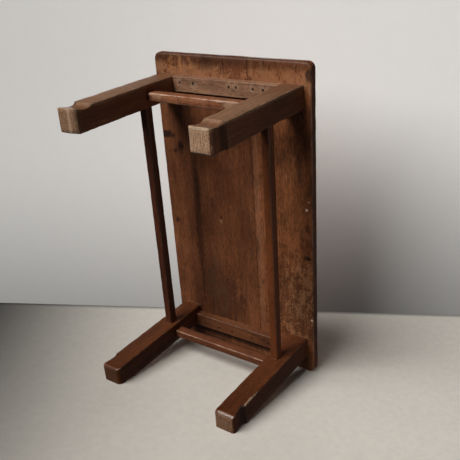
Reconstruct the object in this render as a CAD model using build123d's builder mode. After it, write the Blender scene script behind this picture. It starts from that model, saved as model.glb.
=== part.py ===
from build123d import *
import os

# A low wooden table with four fixed legs. X runs along the table, Y across it and Z up.
# The origin is on the ground under the middle of the top. All sizes are in millimetres.

# Driving sizes
top_length = 730.0
top_width = 392.0
top_thickness = 21.0
table_height = 332.0
corner_radius = 14.0
edge_round = 4.5
joint_y = -50.0  # where the two boards of the top meet
end_overhang = 43.5
side_overhang = 17.0

leg_along = 49.5
leg_across = 47.0
leg_arris = 1.6

foot_scoop_height = 46.0
scoop_low_height = 29.0  # height of the deepest place of a scoop
end_scoop_depth = 5.5
side_scoop_depth = 4.0
foot_flare = 0.4  # how far the scooped faces stay inside the leg at the ground
foot_shoulder = 7.0  # height over which a scoop starts
shoulder_share = 0.6  # part of the scoop depth reached over that height
scoop_tangents = ((-0.3, -1.0), (0.0, -1.0))  # at the shoulder and at the ground
inner_foot_round = 8.0
outer_foot_round = 2.0

batten_width = 33.0
batten_thickness = 20.0
batten_setback = 1.0
batten_arris = 1.2

rail_top = 227.0  # top of the stretchers above the ground
long_rail_width = 18.0
long_rail_depth = 22.0
long_rail_inset = 19.0  # from the outer side of the legs
short_rail_width = 18.5
short_rail_depth = 23.5
short_rail_inset = 16.5  # from the outer end of the legs
rail_arris = 2.2
rail_end_taper = 4.0

tenon_length = 12.0
tenon_shoulder = 4.0
leg_tenon_height = 13.0
leg_tenon_shoulder = 10.0
mortise_clearance = 0.1

nail_diameter = 2.4
nail_head_diameter = 5.0
nail_head_thickness = 1.2
nail_length = 33.0
nail_sink = 1.2
nail_clearance = 0.05
nail_row_inset = 12.0  # from the outer edge of a batten
toe_nail_length = 26.0
toe_nail_inset = 7.0  # from the shoulder of a stretcher

peg_diameter = 5.0
peg_length = 40.0
peg_spacing = 120.0
peg_count = 5

# Hand-driven nails stand at uneven places across the table
nail_rows = {"left": (113.0, 77.0, -15.0, -33.0, -74.0, -98.0), "right": (104.0, 61.0, 22.0, -36.0, -81.0, -109.0)}
end_sides = {"left": -1, "right": 1}
long_sides = {"front": -1, "back": 1}

# Places worked out from them
leg_height = table_height - top_thickness
half_length = top_length / 2
half_width = top_width / 2
leg_outer_x = half_length - end_overhang
leg_inner_x = leg_outer_x - leg_along
leg_outer_y = half_width - side_overhang
leg_inner_y = leg_outer_y - leg_across
leg_x = (leg_outer_x + leg_inner_x) / 2
leg_y = (leg_outer_y + leg_inner_y) / 2
long_rail_y = leg_outer_y - long_rail_inset - long_rail_width / 2
long_rail_z = rail_top - long_rail_depth / 2
short_rail_x = leg_outer_x - short_rail_inset - short_rail_width / 2
short_rail_z = rail_top - short_rail_depth / 2
short_rail_bottom = rail_top - short_rail_depth
batten_x = leg_outer_x - batten_setback - batten_width / 2
batten_z = leg_height - batten_thickness / 2
nail_x = leg_outer_x - batten_setback - nail_row_inset
board_z = leg_height + top_thickness / 2

os.makedirs("parts", exist_ok=True)


def finish(piece, name):
    """Label a finished piece and write it."""
    piece.part.label = name
    export_step(piece.part, f"parts/{name}.step")


def nail_shape(places, length, clearance=0.0, sink=0.0):
    """Flat-headed nails, each with its head on a plane and its shank along that plane's Z direction."""
    with BuildPart() as nails:
        for place in places:
            with BuildSketch(place.offset(-sink)):
                Circle(nail_head_diameter / 2 + clearance)
            extrude(amount=sink + nail_head_thickness + clearance)
            with BuildSketch(place):
                Circle(nail_diameter / 2 + clearance)
            extrude(amount=length + clearance)
    return nails.part


def batten_nail_places(end):
    """Planes of the nails that are driven straight up through one end batten into the top."""
    head_z = leg_height - batten_thickness + nail_sink
    return [Plane(origin=(end_sides[end] * nail_x, y, head_z), z_dir=(0, 0, 1)) for y in nail_rows[end]]


def toe_nail_places(end):
    """Planes of the two slanting nails that hold one short stretcher to its legs."""
    places = []
    for side in long_sides.values():
        start = Vector(end_sides[end] * short_rail_x, side * (leg_inner_y - toe_nail_inset), short_rail_bottom)
        slant = Vector(0, side, 1).normalized()
        places.append(Plane(origin=start + slant * nail_sink, x_dir=(1, 0, 0), z_dir=slant))
    return places


def foot_profile(full, inner, depth):
    """Outline of a leg seen square on: straight inside, and outside a shoulder and a hollow above the ground."""
    with BuildSketch() as profile:
        with BuildLine():
            Polyline(
                (full - foot_flare, 0),
                (inner, 0),
                (inner, leg_height),
                (full, leg_height),
                (full, foot_scoop_height),
            )
            Spline(
                (full, foot_scoop_height),
                (full - depth * shoulder_share, foot_scoop_height - foot_shoulder),
                (full - depth, scoop_low_height),
                (full - foot_flare, 0),
                tangents=scoop_tangents,
            )
        make_face()
        fillet(profile.vertices().group_by(Axis.Y)[0].sort_by(Axis.X)[0], inner_foot_round)
        fillet(profile.vertices().group_by(Axis.Y)[0].sort_by(Axis.X)[-1], outer_foot_round)
    return profile.sketch


def mortise_size(width, depth):
    """Opening for the stub tenon of a rail of this section."""
    return (
        width - 2 * tenon_shoulder + mortise_clearance,
        depth - 2 * tenon_shoulder + mortise_clearance,
    )


def rail(plane, centre, half_span, width, depth, arris, end_taper):
    """A straight rail with eased arrises, bevelled ends and a stub tenon at each end."""
    with BuildPart() as stick:
        with BuildSketch(plane):
            with Locations(centre):
                Rectangle(width, depth)
        extrude(amount=half_span, both=True)
        if end_taper:
            chamfer(stick.faces().filter_by(Axis(plane.origin, plane.z_dir)).edges(), end_taper)
        chamfer(stick.edges().filter_by(Axis(plane.origin, plane.z_dir)), arris)
        with BuildSketch(plane):
            with Locations(centre):
                Rectangle(width - 2 * tenon_shoulder, depth - 2 * tenon_shoulder)
        extrude(amount=half_span + tenon_length, both=True)
    return stick.part


# The top: one slab with rounded corners, parted where its two boards meet
with BuildPart() as slab:
    with BuildSketch(Plane.XY.offset(leg_height)):
        RectangleRounded(top_length, top_width, corner_radius)
    extrude(amount=top_thickness)
    fillet(slab.faces().filter_by(Axis.Z).edges(), edge_round)

all_batten_nails = batten_nail_places("left") + batten_nail_places("right")
for name, kept_side in (("top_board_wide", Keep.BOTTOM), ("top_board_narrow", Keep.TOP)):
    with BuildPart() as board:
        add(slab.part)
        split(bisect_by=Plane.XZ.offset(-joint_y), keep=kept_side)
        with BuildSketch(Plane.XY.offset(leg_height)):
            with GridLocations(2 * leg_x, 2 * leg_y, 2, 2):
                Rectangle(
                    leg_along - 2 * leg_tenon_shoulder + mortise_clearance,
                    leg_across - 2 * leg_tenon_shoulder + mortise_clearance,
                )
        extrude(amount=leg_tenon_height + mortise_clearance, mode=Mode.SUBTRACT)
        with BuildSketch(Plane.XZ.offset(-joint_y)):
            with Locations((0, board_z)):
                with GridLocations(peg_spacing, 1, peg_count, 1):
                    Circle(peg_diameter / 2 + nail_clearance)
        extrude(amount=peg_length / 2 + mortise_clearance, both=True, mode=Mode.SUBTRACT)
        add(nail_shape(all_batten_nails, nail_length, nail_clearance), mode=Mode.SUBTRACT)
    finish(board, name)

with BuildPart() as pegs:
    with BuildSketch(Plane.XZ.offset(-joint_y)):
        with Locations((0, board_z)):
            with GridLocations(peg_spacing, 1, peg_count, 1):
                Circle(peg_diameter / 2)
    extrude(amount=peg_length / 2, both=True)
finish(pegs, "board_joint_pegs")

# The leg at the right-hand back corner; the others are its mirror images
with BuildPart() as corner_leg:
    with BuildSketch(Plane.XZ.offset(-leg_outer_y)):
        add(foot_profile(leg_outer_x, leg_inner_x, end_scoop_depth))
    extrude(amount=leg_across)
    with BuildSketch(Plane.YZ.offset(leg_inner_x)):
        add(foot_profile(leg_outer_y, leg_inner_y, side_scoop_depth))
    extrude(amount=leg_along, mode=Mode.INTERSECT)
    fillet(corner_leg.edges().filter_by(Axis.Z), leg_arris)
    with BuildSketch(Plane.XY.offset(leg_height)):
        with Locations((leg_x, leg_y)):
            Rectangle(leg_along - 2 * leg_tenon_shoulder, leg_across - 2 * leg_tenon_shoulder)
    extrude(amount=leg_tenon_height)
    with BuildSketch(Plane.YZ.offset(leg_inner_x)):
        with Locations((long_rail_y, long_rail_z)):
            Rectangle(*mortise_size(long_rail_width, long_rail_depth))
    extrude(amount=tenon_length + mortise_clearance, mode=Mode.SUBTRACT)
    with BuildSketch(Plane.XZ.offset(-leg_inner_y)):
        with Locations((short_rail_x, short_rail_z)):
            Rectangle(*mortise_size(short_rail_width, short_rail_depth))
        with Locations((batten_x, batten_z)):
            Rectangle(*mortise_size(batten_width, batten_thickness))
    extrude(amount=-(tenon_length + mortise_clearance), mode=Mode.SUBTRACT)
    add(nail_shape(toe_nail_places("right"), toe_nail_length, nail_clearance), mode=Mode.SUBTRACT)

for end, side_x in end_sides.items():
    for side, side_y in long_sides.items():
        with BuildPart() as leg:
            add(corner_leg.part)
            if side_x < 0:
                mirror(about=Plane.YZ, mode=Mode.REPLACE)
            if side_y < 0:
                mirror(about=Plane.XZ, mode=Mode.REPLACE)
        finish(leg, f"leg_{end}_{side}")

# The four stretchers that tie the legs, and the two battens that keep the top flat
for side, side_y in long_sides.items():
    with BuildPart() as long_rail:
        add(
            rail(
                Plane.YZ,
                (side_y * long_rail_y, long_rail_z),
                leg_inner_x,
                long_rail_width,
                long_rail_depth,
                rail_arris,
                0,
            )
        )
    finish(long_rail, f"long_stretcher_{side}")

for end, side_x in end_sides.items():
    with BuildPart() as short_rail:
        add(
            rail(
                Plane.XZ,
                (side_x * short_rail_x, short_rail_z),
                leg_inner_y,
                short_rail_width,
                short_rail_depth,
                rail_arris,
                rail_end_taper,
            )
        )
        add(nail_shape(toe_nail_places(end), toe_nail_length, nail_clearance, nail_sink), mode=Mode.SUBTRACT)
    finish(short_rail, f"short_stretcher_{end}")

    with BuildPart() as batten:
        add(
            rail(
                Plane.XZ,
                (side_x * batten_x, batten_z),
                leg_inner_y,
                batten_width,
                batten_thickness,
                batten_arris,
                0,
            )
        )
        add(nail_shape(batten_nail_places(end), nail_length, nail_clearance, nail_sink), mode=Mode.SUBTRACT)
    finish(batten, f"end_batten_{end}")

    with BuildPart() as batten_nails:
        add(nail_shape(batten_nail_places(end), nail_length))
    finish(batten_nails, f"batten_nails_{end}")

    with BuildPart() as toe_nails:
        add(nail_shape(toe_nail_places(end), toe_nail_length))
    finish(toe_nails, f"stretcher_nails_{end}")
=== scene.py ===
import math

import bmesh
import bpy
from mathutils import Matrix, Vector, noise


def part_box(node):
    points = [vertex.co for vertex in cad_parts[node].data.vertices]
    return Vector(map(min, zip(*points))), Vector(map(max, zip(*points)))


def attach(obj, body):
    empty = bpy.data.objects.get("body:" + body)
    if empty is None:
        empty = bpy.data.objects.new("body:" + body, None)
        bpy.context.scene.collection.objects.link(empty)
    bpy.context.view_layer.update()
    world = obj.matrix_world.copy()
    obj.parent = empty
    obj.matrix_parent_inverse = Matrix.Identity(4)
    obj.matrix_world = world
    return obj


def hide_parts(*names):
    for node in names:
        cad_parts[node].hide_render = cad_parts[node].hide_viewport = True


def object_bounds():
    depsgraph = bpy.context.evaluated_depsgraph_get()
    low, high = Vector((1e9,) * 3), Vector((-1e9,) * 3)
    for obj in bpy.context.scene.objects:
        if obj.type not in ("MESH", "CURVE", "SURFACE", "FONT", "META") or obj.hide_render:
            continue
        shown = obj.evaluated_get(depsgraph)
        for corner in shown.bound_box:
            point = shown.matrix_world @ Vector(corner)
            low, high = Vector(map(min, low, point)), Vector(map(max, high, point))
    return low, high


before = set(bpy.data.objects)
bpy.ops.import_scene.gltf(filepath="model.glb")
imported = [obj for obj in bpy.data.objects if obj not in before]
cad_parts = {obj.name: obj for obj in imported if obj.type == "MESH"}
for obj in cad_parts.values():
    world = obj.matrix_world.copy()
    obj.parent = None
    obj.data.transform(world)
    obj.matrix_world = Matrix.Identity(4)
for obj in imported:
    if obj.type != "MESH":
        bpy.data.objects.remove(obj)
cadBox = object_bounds()
print("table frame loaded:", len(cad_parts), "nodes")


# Camera: looking up under the table while it stands on its end
cameraLook = {
    "aim": (-0.0430, -0.0747, 0.1785),
    "distance": 1.35,
    "azimuth": -39.07,  # 0 looks along +Y
    "elevation": -47.09,
    "roll": 55.27,
    "viewAngle": 38.66,
}


def makeCamera(look):
    turn = math.radians(look["azimuth"])
    lift = math.radians(look["elevation"])
    back = Vector((math.sin(turn) * math.cos(lift), -math.cos(turn) * math.cos(lift), math.sin(lift)))
    data = bpy.data.cameras.new("camera")
    data.angle = math.radians(look["viewAngle"])
    data.clip_start = 0.02
    data.clip_end = 50.0
    camera = bpy.data.objects.new("camera", data)
    bpy.context.scene.collection.objects.link(camera)
    camera.location = Vector(look["aim"]) + back * look["distance"]
    level = back.to_track_quat("Z", "Y").to_matrix()
    camera.rotation_euler = (level @ Matrix.Rotation(math.radians(look["roll"]), 3, "Z")).to_euler()
    bpy.context.scene.camera = camera
    return camera


# Shader maths is written as sums of wires
class Wire:
    def __init__(self, finish, socket):
        self.finish = finish
        self.socket = socket

    def maths(self, operation, *values):
        return self.finish.node("ShaderNodeMath", {"operation": operation}, dict(enumerate(values)))

    def __add__(self, other):
        return self.maths("ADD", self, other)

    def __sub__(self, other):
        return self.maths("SUBTRACT", self, other)

    def __rsub__(self, other):
        return self.maths("SUBTRACT", other, self)

    def __mul__(self, other):
        return self.maths("MULTIPLY", self, other)

    def __truediv__(self, other):
        return self.maths("DIVIDE", self, other)

    def __pow__(self, other):
        return self.maths("POWER", self, other)

    def __abs__(self):
        return self.maths("ABSOLUTE", self)

    __radd__ = __add__
    __rmul__ = __mul__

    def least(self, other):
        return self.maths("MINIMUM", self, other)

    def most(self, other):
        return self.maths("MAXIMUM", self, other)

    def between(self, low, high):  # 0 at low, 1 at high, smooth between; low may be the larger
        settings = {"interpolation_type": "SMOOTHSTEP"}
        ends = (low, high, 0.0, 1.0) if low < high else (high, low, 1.0, 0.0)
        return self.finish.node("ShaderNodeMapRange", settings, {0: self, **dict(enumerate(ends, 1))})


class Finish:
    def __init__(self, name):
        self.material = bpy.data.materials.new(name)
        self.material.use_nodes = True
        self.tree = self.material.node_tree
        self.tree.nodes.clear()

    def node(self, kind, settings=None, inputs=None, output=0):  # settings are made before the sockets
        made = self.tree.nodes.new(kind)
        for key, value in (settings or {}).items():
            setattr(made, key, value)
        for key, value in (inputs or {}).items():
            if isinstance(value, Wire):
                self.tree.links.new(value.socket, made.inputs[key])
            else:
                made.inputs[key].default_value = value
        return Wire(self, made.outputs[output])

    def mix(self, factor, first, second):  # from the first colour to the second
        settings = {"data_type": "RGBA", "clamp_factor": True}
        return self.node("ShaderNodeMix", settings, {0: factor, 6: first, 7: second}, 2)

    def dim(self, colour, level):  # a colour times a number
        shade = self.node("ShaderNodeCombineColor", None, {0: level, 1: level, 2: level})
        settings = {"data_type": "RGBA", "blend_type": "MULTIPLY"}
        return self.node("ShaderNodeMix", settings, {0: 1.0, 6: colour, 7: shade}, 2)

    def place(self):
        return self.node("ShaderNodeTexCoord", None, None, "Object")

    def mapped(self, place, scale):
        return self.node("ShaderNodeMapping", None, {"Vector": place, "Scale": scale})

    def cloud(self, place, scale, detail=3.0, roughness=0.55):
        values = {"Vector": place, "Scale": scale, "Detail": detail, "Roughness": roughness}
        return self.node("ShaderNodeTexNoise", None, values)

    def bump(self, strength, distance, height):
        values = {"Strength": strength, "Distance": distance, "Height": height}
        return self.node("ShaderNodeBump", None, values)

    def solid(self, values):
        return self.node("ShaderNodeBsdfPrincipled", None, values)

    def clear(self):
        return self.node("ShaderNodeBsdfTransparent", None, {"Color": (1.0, 1.0, 1.0, 1.0)})

    def show(self, surface):
        output = self.tree.nodes.new("ShaderNodeOutputMaterial")
        self.tree.links.new(surface.socket, output.inputs["Surface"])
        return self.material


def rgb(*channels):  # screen values 0-255 to scene colour
    linear = [((c / 255 + 0.055) / 1.055) ** 2.4 if c > 10 else c / 255 / 12.92 for c in channels]
    return (*linear, 1.0)


# Timber finish: colour, grain, wear and stains all follow the piece's place in the table; some marks paint
# shade, shadows, sheen, highlights and glow as colour
grimeAndShadeColour = rgb(36, 21, 13)
sootColour = rgb(78, 50, 34)
paleColour = rgb(204, 168, 138)
# colour of the painted glow on the end band of the top
paintedGlowColour = rgb(204, 146, 102)
flameColour = rgb(206, 140, 86)
scuffColour = rgb(172, 136, 98)
rimColour = rgb(226, 198, 168)
paintColour = rgb(236, 216, 186)

timberBase = {
    "grain": 0,  # axis the grain runs along
    "heart": (0.02, -0.11),  # where the middle of the tree lies, beside the piece's own middle
    "ringGap": 0.0065,
    "ringDepth": 0.22,
    "waver": 0.05,  # how far the rings wander
    "ripple": 0.004,  # and how far they shiver
    "streaks": 0.35,  # share of fine streaks in the colour, the rest is broad cloud
    "dark": rgb(84, 50, 32),
    "mid": rgb(134, 90, 60),
    "light": rgb(164, 118, 82),
    "wornAndHighlight": rgb(176, 150, 122),
    "wearAndHighlightWidth": 0.0022,
    "wearAndHighlightStrength": 0.75,
    "wearBox": None,  # the box whose arrises are worn or given a painted highlight, or the piece's own
    "shift": (0.0, 0.0, 0.0),
    "roughness": 0.5,
    "contrast": 0.9,
    "marks": (),  # (centre, half size, strength, colour, how frayed)
    "outerDustAndSheen": None,  # (axis, inner and outer distance, colour, strength)
    "endGrain": None,  # (colour, strength)
    "slant": None,
    "footPolish": 0.0,
    "paintedHollowShade": 0.0,
    "footWear": 0.0,
}
grainLayers = {  # how often it repeats along and across the grain, detail, roughness
    "waver": (2.2, 7.0, 3.0, 0.5),
    "ripple": (9.0, 60.0, 3.0, 0.6),
    "fibre": (16.0, 520.0, 4.0, 0.6),
    "streak": (5.0, 75.0, 4.0, 0.6),
    "blotch": (7.0, 17.0, 4.0, 0.6),
    "mottle": (30.0, 62.0, 5.0, 0.7),
    "pores": (95.0, 330.0, 3.0, 0.65),
}
evenLayers = {  # how often it repeats, detail, roughness
    "patch": (9.0, 3.0, 0.55),
    "speck": (210.0, 2.0, 0.5),
    "rough": (42.0, 4.0, 0.7),
    "soot": (360.0, 3.0, 0.7),
}
sawnScale = (70.0, 520.0, 70.0)  # saw lines across the end of a leg
layerShares = {
    "broad": {"blotch": 0.4, "patch": 0.3, "mottle": 0.3},
    "fine": {"fibre": 0.7, "mottle": 0.8, "pores": 1.1},
    "fray": {"rough": 1.3, "streak": 0.8, "mottle": 1.6, "speck": 1.2},
    "height": {"fibre": 0.45, "streak": 0.35, "lateWood": 0.25, "rough": 0.5},
}
footZones = {  # distances between which each zone sets in
    "hollowFloor": (0.021, 0.033),
    "hollowTop": (0.0468, 0.0452),
    "hollowSide": (0.168, 0.173),
    "nearGround": (0.016, 0.006),
    "dustAndSheen": (0.30, 0.15),
    "sawn": (0.0016, 0.0006),
    "sawnAtSlant": (0.007, 0.006),
}


def shareOf(layers, name, middle=0.0):  # a weighted sum of noise layers
    total = 0.0
    for layer, share in layerShares[name].items():
        total = share * (layers[layer] - middle) + total
    return total


def timberFinish(name, low, high, look):
    look = {**timberBase, **look}
    finish = Finish(name)
    place = finish.place()
    axis = look["grain"]
    middle = (low + high) / 2
    shifted = finish.node("ShaderNodeVectorMath", {"operation": "ADD"}, {0: place, 1: look["shift"]})
    split = finish.node("ShaderNodeSeparateXYZ", None, {0: place})
    at = [Wire(finish, split.socket.node.outputs[i]) for i in range(3)]
    layers = {}
    for layer, (along, across, detail, roughness) in grainLayers.items():
        scale = [across] * 3
        scale[axis] = along
        layers[layer] = finish.cloud(finish.mapped(shifted, tuple(scale)), 1.0, detail, roughness)
    for layer, (scale, detail, roughness) in evenLayers.items():
        layers[layer] = finish.cloud(shifted, scale, detail, roughness)
    patch, speck, streak, rough = (layers[layer] for layer in ("patch", "speck", "streak", "rough"))

    # growth rings about the heart of the tree, wavering along the grain
    side, other = [i for i in range(3) if i != axis]
    sideways = at[side] - middle[side] - look["heart"][0]
    otherways = at[other] - middle[other] - look["heart"][1]
    fromHeart = (sideways**2.0 + otherways**2.0) ** 0.5
    fromHeart = fromHeart + look["waver"] * layers["waver"] + look["ripple"] * layers["ripple"]
    turnOfRing = fromHeart * (2 * math.pi / look["ringGap"])
    layers["lateWood"] = (0.5 + 0.5 * turnOfRing.maths("SINE", turnOfRing)) ** 2.0

    # broad colour, then the fine light and dark of the grain
    cloudy = (1.0 - look["streaks"]) * shareOf(layers, "broad") + look["streaks"] * streak
    tone = finish.mix(cloudy.between(0.30, 0.52), look["dark"], look["mid"])
    tone = finish.mix(cloudy.between(0.48, 0.68), tone, look["light"])
    shade = 1.0 - look["ringDepth"] * layers["lateWood"] - look["contrast"] * shareOf(layers, "fine", 0.5)
    shade = shade - 0.25 * (0.62 - patch).most(0.0)

    # paler outside end faces, dust and painted sheen together, dustier towards the foot
    if look["outerDustAndSheen"]:
        dustAndSheenAxis, inner, outer, colour, strength = look["outerDustAndSheen"]
        fade = 0.4 + 0.6 * at[2].between(*footZones["dustAndSheen"])
        outside = abs(at[dustAndSheenAxis]).between(inner, outer) * fade
        dustAndSheen = outside * strength * (0.55 + 0.9 * (streak - 0.25)).least(1.0)
        tone = finish.mix(dustAndSheen, tone, colour)
    tone = finish.dim(tone, shade)

    # painted shade in the hollow above the foot
    if look["paintedHollowShade"]:
        hollow = at[2].between(*footZones["hollowFloor"]) * at[2].between(*footZones["hollowTop"])
        hollowShadeMask = hollow * abs(at[1]).between(*footZones["hollowSide"]) * look["paintedHollowShade"]
        tone = finish.mix(hollowShadeMask, tone, grimeAndShadeColour)

    # sawn end grain at the ground
    if look["endGrain"]:
        colour, strength = look["endGrain"]
        ends = at[2].between(*footZones["sawnAtSlant" if look["slant"] else "sawn"])
        sawn = finish.cloud(finish.mapped(shifted, sawnScale), 1.0, 4.0, 0.7)
        tone = finish.mix(ends * strength, tone, colour)
        sooty = 0.42 * (0.57 - layers["soot"]).between(0.0, 0.16) + 0.50 * (0.53 - sawn).between(0.0, 0.14)
        tone = finish.mix(ends * sooty, tone, sootColour)

    # wear along the arrises, and on the short stretchers a painted highlight there too: the middle one of the
    # distances to the faces says how near the arris is
    wearLow, wearHigh = look["wearBox"] or (low, high)
    gap = [(wearHigh - wearLow)[i] / 2 - abs(at[i] - (wearLow + wearHigh)[i] / 2) for i in range(3)]
    nearer, further = gap[0].least(gap[1]), gap[0].most(gap[1])
    edge = nearer.most(further.least(gap[2]))
    nearGround = at[2].between(*footZones["nearGround"])
    width = (look["wearAndHighlightWidth"] + look["footWear"] * nearGround) * (0.15 + 2.2 * (rough - 0.3).most(0.0))
    wornAndHighlight = (edge / width.most(0.0001)).between(1.0, 0.35) * look["wearAndHighlightStrength"]
    tone = finish.mix(wornAndHighlight * (0.35 + 0.65 * streak), tone, look["wornAndHighlight"])

    # specks, stains and pale rubbed places, and the painted shadows, shade and glow among the marks
    tone = finish.mix((speck - 0.5).between(0.17, 0.24) * 0.7, tone, grimeAndShadeColour)
    roughness = look["roughness"] + 0.22 * (patch - 0.5) + 0.12 * wornAndHighlight + 0.10 * (layers["fibre"] - 0.5)
    if look["footPolish"]:
        roughness = roughness - look["footPolish"] * nearGround
    if look["paintedHollowShade"]:
        roughness = roughness + 0.5 * hollowShadeMask
    fray = shareOf(layers, "fray", 0.5) if look["marks"] else None
    for centre, size, strength, colour, frayed in look["marks"]:
        reach = frayed * fray
        for i in range(3):
            reach = ((at[i] - centre[i]) / size[i]) ** 2.0 + reach
        tone = finish.mix(reach.between(1.2, 0.1) * strength, tone, colour)

    values = {
        "Base Color": tone,
        "Roughness": roughness.most(0.2).least(0.95),
        "Normal": finish.bump(0.35, 0.0008, shareOf(layers, "height")),
        "Specular IOR Level": 0.4,
    }
    return finish.show(finish.solid(values))


# Making of pieces
def cutAt(bm, axis, distance):  # a loop of edges right round the piece
    place, normal = [0.0] * 3, [0.0] * 3
    place[axis] = distance
    normal[axis] = 1.0
    everything = bm.verts[:] + bm.edges[:] + bm.faces[:]
    bmesh.ops.bisect_plane(bm, geom=everything, plane_co=place, plane_no=normal)


def cutEvery(bm, axis, step, low, high):
    count = max(1, round((high - low) / step))
    for i in range(1, count):
        cutAt(bm, axis, low + (high - low) * i / count)


def timberBlock(low, high):
    bm = bmesh.new()
    bmesh.ops.create_cube(bm, size=1.0)
    middle, size = (low + high) / 2, high - low
    bmesh.ops.transform(bm, matrix=Matrix.Translation(middle) @ Matrix.Diagonal((*size, 1.0)), verts=bm.verts)
    return bm


def roundEdges(bm, edges, width, steps):
    settings = {"profile": 0.5, "affect": "EDGES", "material": -1, "clamp_overlap": True}
    bmesh.ops.bevel(bm, geom=edges, offset=width, segments=steps, **settings)


def runsAlong(edge, axis):
    direction = (edge.verts[1].co - edge.verts[0].co).normalized()
    return abs(direction[axis]) > 0.99


def wearDown(bm, depth, scale, seed):  # small hollows pressed into the surface, never outwards
    bm.normal_update()
    start = Vector((seed * 7.1, seed * 3.3, seed * 5.7))
    for vert in bm.verts:
        amount = max(0.0, noise.noise(vert.co * scale + start))
        sharpness = min(1.0, sum((f.normal - vert.normal).length for f in vert.link_faces) / 1.2)
        vert.co -= vert.normal * depth * amount * (0.3 + 1.7 * sharpness)  # deepest on the arrises


def finishPiece(bm, name, node, material, sharpAngle=35.0):
    bmesh.ops.recalc_face_normals(bm, faces=bm.faces)
    for face in bm.faces:
        face.smooth = True
    for edge in bm.edges:
        edge.smooth = edge.calc_face_angle(0.0) < math.radians(sharpAngle)
    data = bpy.data.meshes.new(name)
    bm.to_mesh(data)
    bm.free()
    data.materials.append(material)
    piece = bpy.data.objects.new(name, data)
    bpy.context.scene.collection.objects.link(piece)
    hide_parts(node)
    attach(piece, "root")
    return piece


# The two boards of the top
topLook = {
    "cornerRadius": 0.014,
    "cornerSteps": 6,
    "edgeRound": 0.0045,
    "edgeSteps": 4,
    "jointEase": 0.0006,
    "step": 0.012,
    "dent": 0.0007,
    "dentScale": 38.0,
}


def makeBoard(node, jointSide, look, finishLook):
    low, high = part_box(node)
    bm = timberBlock(low, high)
    joint = high.y if jointSide > 0 else low.y

    def onJoint(edge):
        return all(abs(vert.co.y - joint) < 0.0001 for vert in edge.verts)

    def sharp(edge, angle):
        return not edge.is_boundary and edge.calc_face_angle(0.0) > math.radians(angle)

    corners = [e for e in bm.edges if runsAlong(e, 2) and not onJoint(e)]
    roundEdges(bm, corners, look["cornerRadius"], look["cornerSteps"])
    bm.normal_update()
    rims = [e for e in bm.edges if sharp(e, 60) and not onJoint(e)]
    roundEdges(bm, rims, look["edgeRound"], look["edgeSteps"])
    bm.normal_update()
    meeting = [e for e in bm.edges if sharp(e, 50) and onJoint(e)]
    roundEdges(bm, meeting, look["jointEase"], 1)
    cutEvery(bm, 0, look["step"], low.x, high.x)
    cutEvery(bm, 1, look["step"], low.y, high.y)
    wearDown(bm, look["dent"], look["dentScale"], jointSide + 3)
    material = timberFinish(node + "_timber", low, high, finishLook)
    return finishPiece(bm, "worn_" + node, node, material)


# The four legs
legLook = {
    "topZ": 0.311,  # underside of the top
    "scoopHeight": 0.046,
    "scoopLow": 0.029,
    "endScoop": 0.0055,
    "sideScoop": 0.0040,
    "flare": 0.0004,
    "slantTop": 0.02,
    "arris": 0.0022,
    "stepUp": 0.0065,
    "stepAcross": 0.0085,
    "footCuts": (0.0006, 0.0013, 0.0024, 0.0042, 0.0092, 0.0385, 0.0425, 0.0448, 0.0462),
    "roundShare": 0.35,  # of each worn corner, the rest is cut straight
    "dent": 0.0009,
    "dentScale": 55.0,
}


def scoopDepth(z, depth, look):
    if z >= look["scoopHeight"]:
        return 0.0
    if z >= look["scoopLow"]:
        rise = (z - look["scoopLow"]) / (look["scoopHeight"] - look["scoopLow"])
        return depth * (1.0 - rise**3.0)
    sink = z / look["scoopLow"]
    return look["flare"] + (depth - look["flare"]) * sink * sink * (3.0 - 2.0 * sink)


def cornerRound(z, radius, look):
    if z >= radius:
        return 0.0
    part = 1.0 - z / radius
    curved = 1.0 - math.sqrt(1.0 - part**2)
    return radius * ((1.0 - look["roundShare"]) * part + look["roundShare"] * curved)


def makeLeg(node, look, finishLook, seed):
    low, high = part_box(node)
    high.z = look["topZ"]
    bm = timberBlock(low, high)
    cutEvery(bm, 2, look["stepUp"], low.z, high.z)
    cutEvery(bm, 0, look["stepAcross"], low.x, high.x)
    cutEvery(bm, 1, look["stepAcross"], low.y, high.y)
    for z in look["footCuts"]:
        cutAt(bm, 2, z)
    bm.normal_update()
    arrises = [e for e in bm.edges if runsAlong(e, 2) and e.calc_face_angle(0.0) > math.radians(60)]
    roundEdges(bm, arrises, look["arris"], 3)

    # each side is scooped above the foot and rounded at the ground
    middle, half = (low + high) / 2, (high - low) / 2
    outerEnd, outerSide, innerEnd, innerSide = finishLook["rounds"]
    sides = ((0, look["endScoop"], outerEnd, innerEnd), (1, look["sideScoop"], outerSide, innerSide))
    for vert in bm.verts:
        z = vert.co.z
        share = [(vert.co[i] - middle[i]) / half[i] for i in (0, 1)]
        for i, depth, outerRound, innerRound in sides:
            if share[i] * middle[i] > 0:
                move = scoopDepth(z, depth, look) + cornerRound(z, outerRound, look)
            else:
                move = cornerRound(z, innerRound, look)
            vert.co[i] -= math.copysign(1.0, share[i]) * move * min(1.0, abs(share[i])) ** 3
        if finishLook["slant"] and z < look["slantTop"]:  # the end worn away at a slant on the inner side
            reach, height = finishLook["slant"]
            innerFace = low.y if middle.y > 0 else high.y
            near = (reach - abs(vert.co.y - innerFace)) / reach
            vert.co.z += height * min(1.0, max(0.0, near)) * (1.0 - z / look["slantTop"])
    wearDown(bm, look["dent"], look["dentScale"], seed)
    material = timberFinish(node + "_timber", low, high, finishLook)
    return finishPiece(bm, "worn_" + node, node, material)


# The four stretchers
stretcherLook = {
    "arris": 0.0032,
    "step": 0.011,
    "tenon": 0.012,  # hidden in the legs, left out here
    "taper": 0.004,
    "taperCuts": (0.0012, 0.004),
    "dent": 0.0006,
    "dentScale": 45.0,
    "sharpAngle": 50.0,
}


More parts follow.
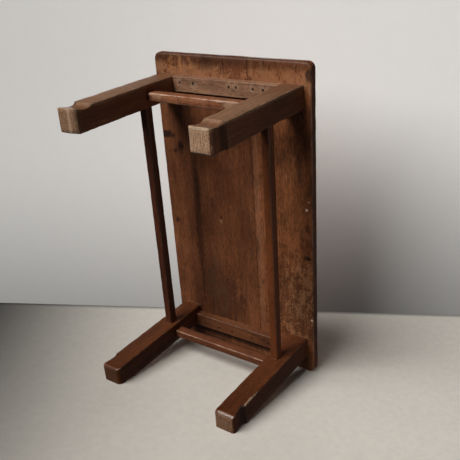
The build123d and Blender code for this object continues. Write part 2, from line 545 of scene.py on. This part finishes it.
def makeStretcher(node, axis, look, finishLook, seed):
    low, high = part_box(node)
    low[axis] += look["tenon"]
    high[axis] -= look["tenon"]
    bm = timberBlock(low, high)
    roundEdges(bm, [e for e in bm.edges if runsAlong(e, axis)], look["arris"], 4)
    cutEvery(bm, axis, look["step"], low[axis], high[axis])
    if axis == 1:  # the short ones are bevelled where they meet the legs
        for inset in look["taperCuts"]:
            cutAt(bm, axis, low[axis] + inset)
            cutAt(bm, axis, high[axis] - inset)
        middle = (low + high) / 2
        for vert in bm.verts:
            cut = max(0.0, look["taper"] - min(vert.co.y - low.y, high.y - vert.co.y))
            for i in (0, 2):
                aside = vert.co[i] - middle[i]
                vert.co[i] -= math.copysign(min(cut, abs(aside)), aside)
    wearDown(bm, look["dent"], look["dentScale"], seed)
    material = timberFinish(node + "_timber", low, high, finishLook)
    return finishPiece(bm, "worn_" + node, node, material, look["sharpAngle"])


# Stains, rubs, drips, painted shadows and painted glow on the underside of the top: place, half size,
# strength, colour, how frayed
def under(x, y, long, wide, strength, colour, frayed, deep=0.01):
    return ((x, y, legLook["topZ"]), (long, wide, deep), strength, colour, frayed)


# The boards are worn as one top, not each at their joint
wholeTop = (Vector((cadBox[0].x, cadBox[0].y, legLook["topZ"])), Vector(cadBox[1]))
boardFinishes = {
    "top_board_wide": {
        "heart": (0.03, -0.16),
        "ringGap": 0.012,
        "ringDepth": 0.14,
        "waver": 0.09,
        "streaks": 0.12,
        "contrast": 1.5,
        "dark": rgb(84, 45, 26),
        "mid": rgb(128, 75, 45),
        "light": rgb(156, 96, 60),
        "shift": (0.3, 0.0, 0.1),
        "wearAndHighlightWidth": 0.004,
        "wearBox": wholeTop,
        "marks": (
            # painted glow on the end band past the end batten, then darker at the end edge
            under(-0.328, 0.11, 0.024, 0.14, 0.52, paintedGlowColour, 2.6, deep=0.02),
            under(-0.365, 0.0, 0.022, 0.6, 0.45, grimeAndShadeColour, 1.2, deep=0.02),
            # flame figure past the end batten
            under(-0.343, 0.15, 0.02, 0.008, 0.45, flameColour, 3.0),
            under(-0.346, 0.124, 0.016, 0.006, 0.45, flameColour, 3.0),
            under(-0.343, 0.098, 0.018, 0.007, 0.4, flameColour, 3.0),
            under(-0.349, 0.06, 0.014, 0.03, 0.5, grimeAndShadeColour, 2.5),
            under(-0.342, 0.01, 0.018, 0.003, 0.5, grimeAndShadeColour, 2.0),
            # painted shadow of the lower end batten on the top beyond it
            under(0.332, 0.0, 0.02, 0.6, 0.8, grimeAndShadeColour, 0.4),
            # dark knots beside the back leg
            under(-0.179, 0.179, 0.01, 0.022, 0.9, grimeAndShadeColour, 1.6),
            under(-0.152, 0.146, 0.016, 0.012, 0.95, grimeAndShadeColour, 1.6),
            under(-0.142, 0.162, 0.008, 0.008, 0.8, grimeAndShadeColour, 1.2),
            # streaks and small marks along the middle; the long dark streaks near y 0.11 are a painted shadow
            # of the back long stretcher, and the wide dark patch at x 0.24 makes the lower end darker
            under(-0.08, 0.105, 0.07, 0.008, 0.55, grimeAndShadeColour, 1.6),
            under(0.007, 0.044, 0.004, 0.004, 0.7, grimeAndShadeColour, 0.6),
            under(0.02, 0.045, 0.006, 0.006, 0.4, paleColour, 3.0),
            under(0.05, 0.112, 0.26, 0.01, 0.5, grimeAndShadeColour, 1.6),
            under(0.2, 0.075, 0.075, 0.03, 0.2, scuffColour, 6.0),
            under(0.039, 0.176, 0.009, 0.006, 0.8, grimeAndShadeColour, 1.2),
            under(0.24, 0.06, 0.12, 0.08, 0.55, grimeAndShadeColour, 1.4),
            under(0.1, -0.02, 0.2, 0.03, 0.25, grimeAndShadeColour, 1.2),
        ),
    },
    "top_board_narrow": {
        "heart": (-0.02, -0.20),
        "ringGap": 0.014,
        "ringDepth": 0.14,
        "waver": 0.09,
        "streaks": 0.15,
        "contrast": 2.0,
        "dark": rgb(96, 53, 29),
        "mid": rgb(142, 84, 49),
        "light": rgb(172, 108, 68),
        "shift": (1.7, 0.4, 0.6),
        "wearAndHighlightWidth": 0.004,
        "wearBox": wholeTop,
        "marks": (
            # painted glow on the end band past the end batten, then darker at the end edge
            under(-0.328, -0.12, 0.024, 0.16, 0.46, paintedGlowColour, 2.6, deep=0.02),
            under(-0.365, 0.0, 0.022, 0.6, 0.4, grimeAndShadeColour, 1.2, deep=0.02),
            # painted shadow of the lower end batten on the top beyond it
            under(0.332, -0.04, 0.02, 0.1, 0.8, grimeAndShadeColour, 0.4),
            under(-0.339, -0.19, 0.014, 0.009, 0.8, grimeAndShadeColour, 1.6),
            # scuffed area beside the front leg
            under(0.19, -0.155, 0.085, 0.04, 0.3, scuffColour, 8.0),
            under(0.2, -0.145, 0.11, 0.055, 0.4, grimeAndShadeColour, -7.0),
            under(0.0, -0.06, 0.4, 0.01, 0.08, paleColour, 0.8),
            # drops of paint
            under(-0.074, -0.187, 0.0032, 0.003, 0.85, paleColour, 0.3),
            under(-0.055, -0.182, 0.0038, 0.0036, 1.0, paintColour, 0.2),
            under(0.219, -0.1915, 0.0036, 0.0036, 1.0, paintColour, 0.2),
            # knots near the front edge, then grime in the joint, and painted shade on the edge itself
            under(0.061, -0.182, 0.0065, 0.011, 1.0, grimeAndShadeColour, 1.4),
            under(-0.011, -0.183, 0.012, 0.007, 0.6, grimeAndShadeColour, 2.0),
            under(-0.15, -0.165, 0.035, 0.008, 0.5, grimeAndShadeColour, 2.0),
            under(0.0, -0.0505, 0.4, 0.001, 0.35, grimeAndShadeColour, 0.3),
            ((0.0, -0.1965, 0.321), (0.60, 0.0035, 0.02), 0.45, grimeAndShadeColour, 0.3),
        ),
    },
}

legTimber = {
    "grain": 2,
    "ringGap": 0.0045,
    "ringDepth": 0.15,
    "paintedHollowShade": 0.6,
    "footWear": 0.003,
    "slant": None,  # how far in and how high the end is worn away
}
paleLeg = {  # the left legs, paler, with more dust and painted sheen on the outer end
    **legTimber,
    "dark": rgb(80, 41, 20),
    "mid": rgb(118, 67, 35),
    "light": rgb(146, 88, 51),
    "wornAndHighlight": rgb(222, 190, 158),
    "contrast": 0.9,
    "outerDustAndSheen": (0, 0.3125, 0.3195, rgb(172, 131, 100), 0.9),
}
polishedLeg = {  # the right legs, darker and smoother at the foot
    **legTimber,
    "dark": rgb(64, 30, 11),
    "mid": rgb(98, 50, 21),
    "light": rgb(126, 69, 34),
    "wornAndHighlight": rgb(176, 150, 122),
    "contrast": 1.3,
    "footPolish": 0.25,
    "outerDustAndSheen": (0, 0.3125, 0.3195, rgb(172, 131, 100), 0.3),
}
legFinishes = {  # rounds at the ground: outer end, outer side, inner end, inner side
    "leg_left_front": {
        **paleLeg,
        "heart": (0.05, 0.03),
        "shift": (0.2, 0.9, 0.0),
        "rounds": (0.0015, 0.006, 0.005, 0.003),
        "endGrain": (rgb(228, 182, 144), 1.0),
        "marks": (
            ((-0.3180, -0.1525, 0.0010), (0.0024, 0.0300, 0.0030), 0.75, rimColour, 0.7),
            ((-0.2960, -0.1335, 0.0010), (0.0300, 0.0017, 0.0030), 0.65, rimColour, 0.6),
            # painted shade along the rounded inner end at the ground
            ((-0.2740, -0.1525, 0.0020), (0.0040, 0.0300, 0.0045), 0.75, grimeAndShadeColour, 0.8),
        ),
    },
    "leg_left_back": {
        **paleLeg,
        "heart": (-0.04, 0.05),
        "shift": (1.2, 0.1, 0.4),
        "rounds": (0.0015, 0.002, 0.003, 0.004),
        "slant": (0.022, 0.006),
        "endGrain": (rgb(190, 148, 114), 0.95),
        "marks": (
            ((-0.300, 0.1510, 0.0015), (0.040, 0.0045, 0.0045), 0.9, paleColour, 0.7),
            ((-0.297, 0.1350, 0.0070), (0.060, 0.0070, 0.0060), 0.45, grimeAndShadeColour, 0.8),
        ),
    },
    "leg_right_front": {
        **polishedLeg,
        "heart": (-0.05, -0.03),
        "shift": (2.2, 0.5, 0.8),
        "rounds": (0.002, 0.005, 0.008, 0.003),
        "endGrain": (rgb(170, 130, 100), 0.8),
        "marks": (
            ((0.2725, -0.1785, 0.060), (0.0035, 0.0035, 0.030), 0.6, paleColour, 2.0),
            ((0.2730, -0.1560, 0.0045), (0.0060, 0.0240, 0.0030), 0.35, paleColour, 0.8),
        ),
    },
    "leg_right_back": {
        **polishedLeg,
        "heart": (0.03, -0.05),
        "shift": (3.2, 0.7, 1.4),
        "rounds": (0.002, 0.003, 0.006, 0.007),
        "endGrain": (rgb(96, 68, 48), 0.7),
    },
}

stretcherFinishes = {
    "long_stretcher_front": {
        "dark": rgb(88, 44, 19),
        "mid": rgb(124, 66, 31),
        "light": rgb(148, 84, 44),
        "shift": (0.5, 1.1, 0.2),
    },
    "long_stretcher_back": {
        "dark": rgb(64, 30, 15),
        "mid": rgb(90, 46, 25),
        "light": rgb(112, 62, 36),
        "shift": (1.5, 0.3, 0.9),
    },
    "short_stretcher_left": {
        "grain": 1,
        "dark": rgb(112, 60, 36),
        "mid": rgb(160, 98, 64),
        "light": rgb(196, 136, 96),
        "shift": (0.8, 0.2, 0.5),
        "contrast": 1.6,
        # the pale line along the arrises is wear and a painted highlight
        "wearAndHighlightWidth": 0.005,
        "wearAndHighlightStrength": 1.0,
        "wornAndHighlight": rgb(226, 190, 164),
        "marks": (
            ((-0.300, 0.105, 0.203), (0.010, 0.022, 0.01), 0.4, paleColour, 1.6),
            ((-0.300, -0.075, 0.203), (0.010, 0.020, 0.01), 0.5, paleColour, 1.6),
            ((-0.298, 0.050, 0.203), (0.003, 0.0022, 0.01), 0.7, grimeAndShadeColour, 0.6),
        ),
    },
    "short_stretcher_right": {
        "grain": 1,
        "dark": rgb(80, 42, 26),
        "mid": rgb(118, 67, 42),
        "light": rgb(142, 86, 54),
        "shift": (0.1, 0.6, 1.9),
        "contrast": 1.3,
        # the pale line along the arrises is wear and a painted highlight
        "wearAndHighlightWidth": 0.004,
        "wearAndHighlightStrength": 1.0,
        "wornAndHighlight": rgb(196, 156, 126),
    },
}

# The battens under the ends, their nails and the pegs in the joint keep their CAD bodies
battenFinishes = {
    "end_batten_left": {
        "grain": 1,
        "dark": rgb(116, 74, 52),
        "mid": rgb(166, 120, 90),
        "light": rgb(196, 150, 116),
        "shift": (0.4, 0.8, 0.3),
        "roughness": 0.65,
        "contrast": 1.4,
        "halo": 0.35,  # strength of the pale ring round each nail
        "hole": 0.55,
    },
    "end_batten_right": {
        "grain": 1,
        "dark": rgb(82, 44, 24),
        "mid": rgb(120, 70, 40),
        "light": rgb(146, 92, 54),
        "shift": (1.4, 0.6, 0.7),
        "roughness": 0.6,
        "contrast": 1.2,
        "halo": 0.0,
        "hole": 0.2,
    },
}


nailLook = {
    "haloSize": (0.0080, 0.0070, 0.012),
    "haloFray": 4.5,
    "holeSize": (0.0038, 0.0036, 0.012),
    "holeFray": 0.8,
    "gap": 0.003,  # heads further apart than this are different nails
    "iron": rgb(38, 34, 32),
    "rust": rgb(74, 42, 26),
}


def nailPlaces(node):  # the middle of each nail head
    points = [vert.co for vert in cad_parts[node].data.vertices]
    bottom = min(round(point.z, 5) for point in points)
    groups = []
    for y in sorted(point.y for point in points if point.z < bottom + 0.0001):
        if not groups or y - groups[-1][-1] > nailLook["gap"]:
            groups.append([])
        groups[-1].append(y)
    x = sum(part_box(node)[i].x for i in (0, 1)) / 2
    return [(x, sum(group) / len(group), bottom) for group in groups]


def nailMarks(node, look):
    places = nailPlaces(node)
    halos = [(at, nailLook["haloSize"], look["halo"], paleColour, nailLook["haloFray"]) for at in places]
    holes = [(at, nailLook["holeSize"], look["hole"], grimeAndShadeColour, nailLook["holeFray"]) for at in places]
    return halos + holes


def ironFinish(name, look):
    finish = Finish(name)
    place = finish.place()
    scale = finish.cloud(place, 900.0, 4.0, 0.6)
    rust = finish.cloud(place, 260.0, 3.0, 0.6).between(0.42, 0.62)
    values = {
        "Base Color": finish.mix(rust * 0.6, look["iron"], look["rust"]),
        "Roughness": 0.55 + 0.25 * rust,
        "Metallic": 0.8 - 0.5 * rust,
        "Normal": finish.bump(0.4, 0.0003, scale),
    }
    return finish.show(finish.solid(values))


def dress(node, material):  # a CAD body that keeps its shape gets a new material
    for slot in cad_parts[node].material_slots:
        slot.material = material
    tableParts.append(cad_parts[node])


bambooLook = {
    "grain": 1,
    "dark": rgb(150, 118, 72),
    "mid": rgb(180, 146, 96),
    "light": rgb(202, 172, 120),
}

tableParts = []
for node, side in (("top_board_wide", -1), ("top_board_narrow", 1)):
    tableParts.append(makeBoard(node, side, topLook, boardFinishes[node]))
print("boards made")
for seed, (node, look) in enumerate(legFinishes.items()):
    tableParts.append(makeLeg(node, legLook, look, seed + 1))
print("legs made")
for seed, (node, look) in enumerate(stretcherFinishes.items()):
    tableParts.append(makeStretcher(node, look.get("grain", 0), stretcherLook, look, seed + 11))
print("stretchers made")
for node, look in battenFinishes.items():
    marks = nailMarks(node.replace("end_batten", "batten_nails"), look)
    dress(node, timberFinish(node + "_timber", *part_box(node), {**look, "marks": marks}))
print("battens finished")
iron = ironFinish("old_iron", nailLook)
for node in ("batten_nails_left", "stretcher_nails_left", "batten_nails_right", "stretcher_nails_right"):
    dress(node, iron)
dress("board_joint_pegs", timberFinish("split_bamboo", *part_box("board_joint_pegs"), bambooLook))
print("nails and pegs finished")

# The stage: floor and wall behind the table, seen only from their fronts and through the gate at the camera
stageLook = {
    "floorTouch": (0.365, 0.311),  # x and z where the end of the top stands on the floor
    "floorLean": 9.32,  # degrees that the floor leans from upright
    "wallFoot": (0.3754, 0.3337, 0.3741),
    "wallNormal": (-0.1341, -0.5606, -0.8171),
    "wallColour": rgb(248, 245, 240),
    "floorColour": rgb(226, 219, 207),
    "groundColour": rgb(236, 234, 229),
    "floorGrain": (60.0, 0.30),  # size and contrast
    "wallGrain": (25.0, 0.04),
    "groundGrain": (60.0, 0.05),
    "floorSize": 3.0,
    "wallSize": 3.5,
    "groundSize": 30.0,
    "wallFall": (("down", 0.35, -0.35, 0.36), ("across", -0.6, 0.35, 0.80)),  # way, from, to, least light
    "floorFall": (("across", -0.6, 0.1, 0.03),),
    "wallFootShadeWidth": 0.022,
    "wallFootShadeLevel": 0.35,
    "gateSize": 0.1,
    "gateGap": 0.06,  # from the camera to the first sheet
    "gateStep": 0.002,
    "gateSheets": 5,
}


def plane(name, centre, normal, size, material):
    data = bpy.data.meshes.new(name)
    data.materials.append(material)
    bm = bmesh.new()
    bmesh.ops.create_grid(bm, x_segments=2, y_segments=2, size=size)
    turn = Vector(normal).normalized().to_track_quat("Z", "Y").to_matrix().to_4x4()
    bmesh.ops.transform(bm, matrix=Matrix.Translation(Vector(centre)) @ turn, verts=bm.verts)
    bm.to_mesh(data)
    bm.free()
    made = bpy.data.objects.new(name, data)
    bpy.context.scene.collection.objects.link(made)
    return made


def stageFinish(name, colour, grain, fall=(), gateSheets=0):
    finish = Finish(name)
    place = finish.place()
    size, contrast = grain
    broad = finish.cloud(place, 1.6, 3.0, 0.5)
    fine = finish.cloud(place, size, 6.0, 0.65)
    level = 1.0 + contrast * (broad - 0.5) + 0.8 * contrast * (fine - 0.5)
    for direction, start, end, least in fall:  # painted fall-off of the room's light along these directions
        values = {0: place, 1: direction}
        reach = finish.node("ShaderNodeVectorMath", {"operation": "DOT_PRODUCT"}, values, "Value")
        level = level * (least + (1.0 - least) * reach.between(start, end))
    values = {
        "Base Color": finish.dim(colour, level),
        "Roughness": 0.85,
        "Normal": finish.bump(0.12, 0.002, fine),
    }
    seen = 1.0 - finish.node("ShaderNodeNewGeometry", None, None, "Backfacing")
    if gateSheets:
        sheets = finish.node("ShaderNodeLightPath", None, None, "Transparent Depth")
        passed = sheets.maths("GREATER_THAN", sheets, gateSheets - 0.5)
        seen = seen * (1.0 - finish.node("ShaderNodeLightPath", None, None, "Is Camera Ray") * (1.0 - passed))
    either = {0: seen, 1: finish.clear(), 2: finish.solid(values)}
    return finish.show(finish.node("ShaderNodeMixShader", None, either))


def makeStage(look, camera):
    turn = camera.matrix_basis.to_3x3()
    toward = turn @ Vector((0.0, 0.0, -1.0))
    ways = {"across": tuple(turn @ Vector((1.0, 0.0, 0.0))), "down": tuple(turn @ Vector((0.0, -1.0, 0.0)))}
    lean = math.radians(look["floorLean"])
    floorNormal = (-math.cos(lean), 0.0, math.sin(lean))
    floorTouch = (look["floorTouch"][0], 0.0, look["floorTouch"][1])
    wallOff = Vector(look["wallNormal"]).normalized()
    wallFootShadeAt = wallOff.dot(Vector(look["wallFoot"]))

    wallFall = [(ways[way], *rest) for way, *rest in look["wallFall"]]
    floorFall = [(ways[way], *rest) for way, *rest in look["floorFall"]]
    # painted shade on the floor in a band along the foot of the wall
    floorFall.append((tuple(wallOff), wallFootShadeAt, wallFootShadeAt + look["wallFootShadeWidth"], look["wallFootShadeLevel"]))
    sheets = look["gateSheets"]
    concrete = stageFinish("pale_concrete", look["floorColour"], look["floorGrain"], floorFall, sheets)
    plaster = stageFinish("pale_plaster", look["wallColour"], look["wallGrain"], wallFall, sheets)
    earth = stageFinish("pale_ground", look["groundColour"], look["groundGrain"])
    glass = Finish("clear_gate")
    glass.show(glass.clear())

    floor = plane("stage_floor", floorTouch, floorNormal, look["floorSize"], concrete)
    wall = plane("stage_wall", look["wallFoot"], look["wallNormal"], look["wallSize"], plaster)
    parts = [floor, wall, plane("stage_ground", (0.0, 0.0, 0.0), (0.0, 0.0, 1.0), look["groundSize"], earth)]
    for sheet in range(sheets):
        centre = camera.location + toward * (look["gateGap"] + look["gateStep"] * sheet)
        parts.append(plane(f"stage_gate_{sheet}", centre, -toward, look["gateSize"], glass.material))
    for part in parts:  # they neither shade nor light the table
        part.visible_shadow = False
        part.visible_diffuse = False
        part.visible_glossy = False
    return floor, wall


# Lights: the window is one light for the table and one each for the wall and the floor behind it
lightLook = {
    "window": {"from": (-1.3, 0.40, -1.0), "spread": 30.0, "strength": 2.4, "lit": "table"},
    "windowOnWall": {"from": (-1.05, 0.50, -1.0), "spread": 50.0, "strength": 4.8, "lit": "wall"},
    "windowOnFloor": {"from": (-1.35, 0.35, -0.85), "spread": 40.0, "strength": 2.75, "lit": "floor"},
    "overhead": {"from": (0.45, 0.75, 1.3), "spread": 50.0, "strength": 2.4, "lit": "everything"},
    "frontFill": {"from": (0.25, -1.0, 0.12), "distance": 2.0, "size": 0.8, "power": 3.0},
    "fillAim": (0.0, 0.0, 0.17),
    "worldLevel": 0.04,
    "worldPale": 0.82,
}


def hang(name, data, toward, location=(0.0, 0.0, 0.0)):
    lamp = bpy.data.objects.new(name, data)
    bpy.context.scene.collection.objects.link(lamp)
    lamp.location = location
    lamp.rotation_euler = toward.to_track_quat("Z", "Y").to_euler()
    return lamp


def sunLight(name, entry):
    data = bpy.data.lights.new(name, "SUN")
    data.angle = math.radians(entry["spread"])
    data.energy = entry["strength"]
    return hang(name, data, Vector(entry["from"]))


def areaLight(name, entry, aim):
    data = bpy.data.lights.new(name, "AREA")
    data.shape = "SQUARE"
    data.size = entry["size"]
    data.energy = entry["power"]
    toward = Vector(entry["from"]).normalized()
    return hang(name, data, toward, Vector(aim) + toward * entry["distance"])


def makeWorld(look):  # pale behind everything, dim as a light
    world = bpy.data.worlds.new("studio")
    bpy.context.scene.world = world
    world.use_nodes = True
    tree = world.node_tree
    tree.nodes.clear()
    output = tree.nodes.new("ShaderNodeOutputWorld")
    backdrop = tree.nodes.new("ShaderNodeBackground")
    backdrop.inputs["Color"].default_value = (look["worldPale"],) * 3 + (1.0,)
    ambient = tree.nodes.new("ShaderNodeBackground")
    ambient.inputs["Color"].default_value = (1.0, 1.0, 1.0, 1.0)
    ambient.inputs["Strength"].default_value = look["worldLevel"]
    path = tree.nodes.new("ShaderNodeLightPath")
    either = tree.nodes.new("ShaderNodeMixShader")
    tree.links.new(path.outputs["Is Camera Ray"], either.inputs[0])
    tree.links.new(ambient.outputs[0], either.inputs[1])
    tree.links.new(backdrop.outputs[0], either.inputs[2])
    tree.links.new(either.outputs[0], output.inputs["Surface"])


def makeLights(look, floor, wall, tableParts):
    lit = {}
    for name, parts in (("floor", [floor]), ("wall", [wall]), ("table", tableParts)):
        lit[name] = bpy.data.collections.new(name + "_lit")
        for part in parts:
            lit[name].objects.link(part)
    for name in ("window", "windowOnWall", "windowOnFloor", "overhead"):
        lamp = sunLight(name, look[name])
        if look[name]["lit"] in lit:
            lamp.light_linking.receiver_collection = lit[look[name]["lit"]]
    fill = areaLight("frontFill", look["frontFill"], look["fillAim"])
    fill.light_linking.receiver_collection = lit["table"]
    makeWorld(look)


camera = makeCamera(cameraLook)
floor, wall = makeStage(stageLook, camera)
makeLights(lightLook, floor, wall, tableParts)
bpy.context.scene.view_settings.view_transform = "Standard"
print("camera, stage and lights ready")
